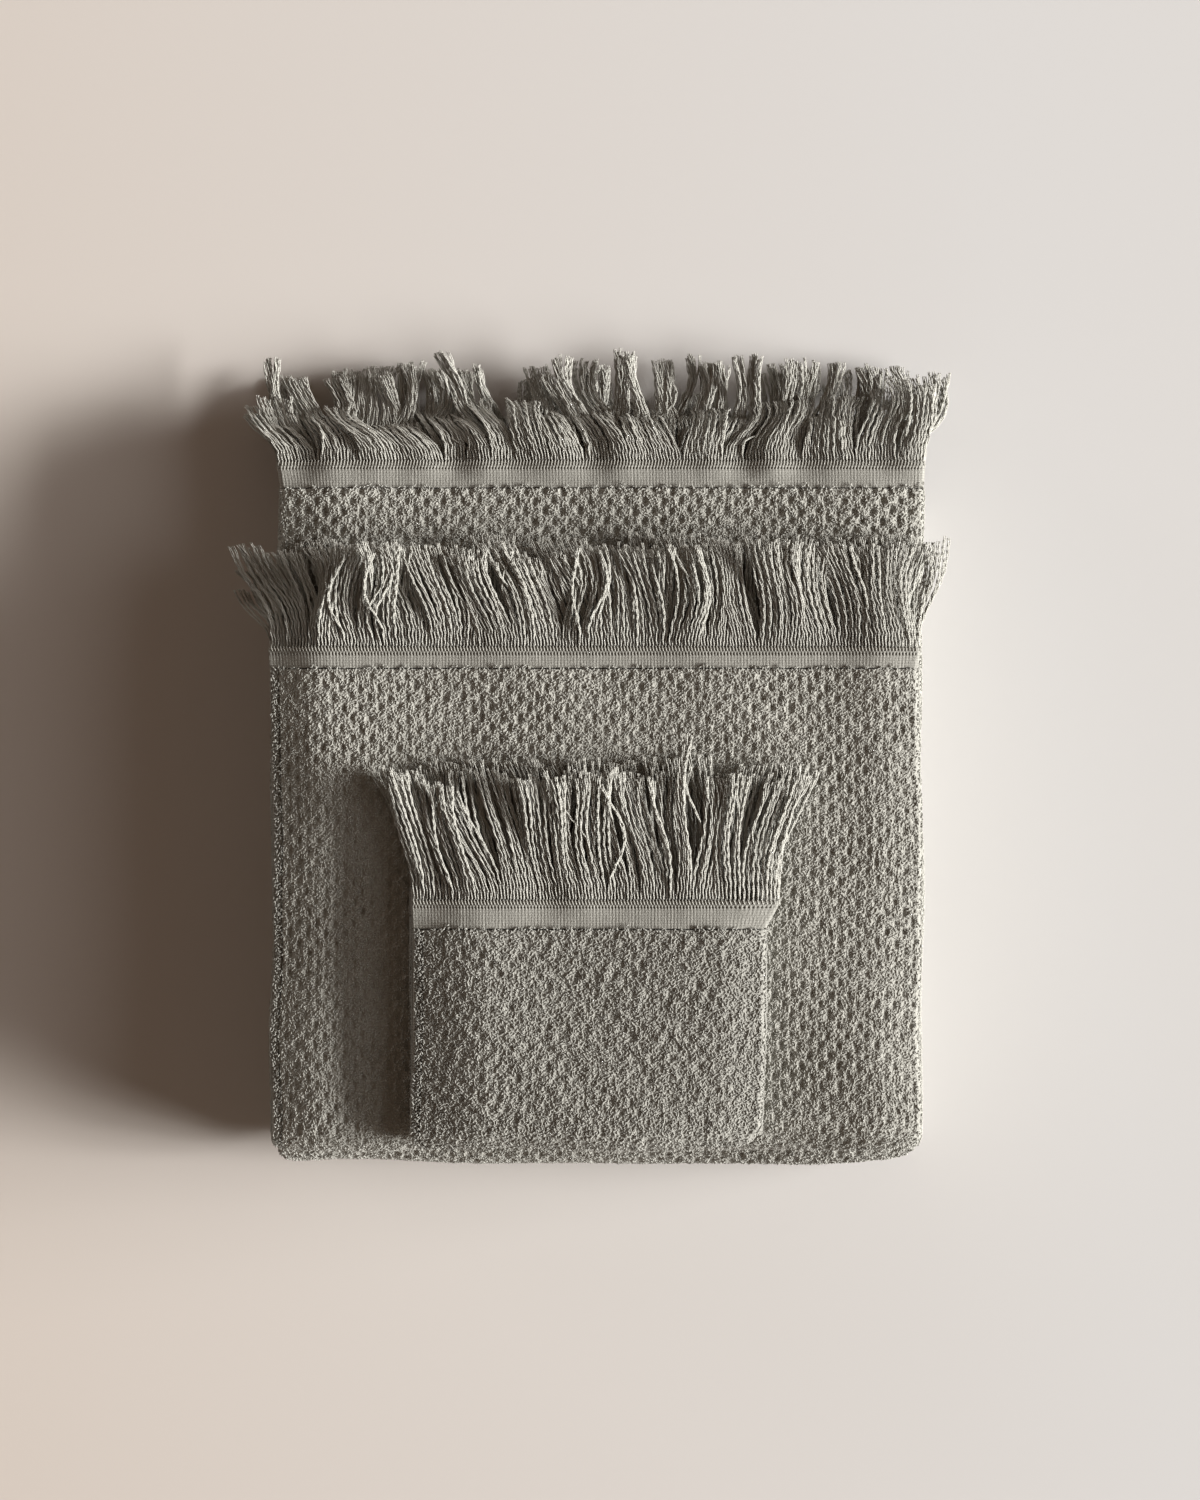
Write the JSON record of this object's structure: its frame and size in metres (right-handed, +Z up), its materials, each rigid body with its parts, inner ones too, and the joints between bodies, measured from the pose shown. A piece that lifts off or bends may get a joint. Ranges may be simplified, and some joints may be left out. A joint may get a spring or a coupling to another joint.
{
  "type": "bath towel set",
  "caption": "Folded terry bath towel, hand towel and washcloth in grey sage cotton, stacked, with flat woven borders and long thread fringes at the ends.",
  "frame": {"origin": "on the surface that the stack lies on, at the middle of the stack's box", "axes": "+Z up; +Y towards the fringed ends of all three towels, along their length; +X to the right when the fringes point away from the viewer"},
  "size_m": [0.285, 0.338, 0.0956],
  "materials": {
    "terry_pile": "matt looped cotton pile",
    "woven_border": "matt flat woven cotton",
    "hemstitch_thread": "matt cotton sewing thread",
    "fringe_yarn": "matt loose cotton yarn"
  },
  "bodies": {
    "bath_towel": {"bath_towel_terry": "terry_pile", "bath_towel_border_top": "woven_border", "bath_towel_border_under": "woven_border", "bath_towel_hemstitch_top": "hemstitch_thread", "bath_towel_hemstitch_under": "hemstitch_thread", "bath_towel_fringe_top": "fringe_yarn", "bath_towel_fringe_under": "fringe_yarn", "bath_towel_selvedge_inner": "woven_border", "bath_towel_selvedge_outer": "woven_border"},
    "hand_towel": {"hand_towel_terry": "terry_pile", "hand_towel_border_top": "woven_border", "hand_towel_border_under": "woven_border", "hand_towel_hemstitch_top": "hemstitch_thread", "hand_towel_hemstitch_under": "hemstitch_thread", "hand_towel_fringe_top": "fringe_yarn", "hand_towel_fringe_under": "fringe_yarn", "hand_towel_selvedge_inner": "woven_border", "hand_towel_selvedge_outer": "woven_border"},
    "washcloth": {"washcloth_terry": "terry_pile", "washcloth_border_top": "woven_border", "washcloth_border_under": "woven_border", "washcloth_hemstitch_top": "hemstitch_thread", "washcloth_hemstitch_under": "hemstitch_thread", "washcloth_fringe_top": "fringe_yarn", "washcloth_fringe_under": "fringe_yarn", "washcloth_selvedge_inner": "woven_border", "washcloth_selvedge_outer": "woven_border"}
  },
  "joints": [
    {"name": "hand_towel_lift", "type": "slide", "parent": "bath_towel", "child": "hand_towel", "axis": [0, 0, 1], "range_m": [0, 0.12]},
    {"name": "washcloth_lift", "type": "slide", "parent": "hand_towel", "child": "washcloth", "axis": [0, 0, 1], "range_m": [0, 0.12]}
  ]
}
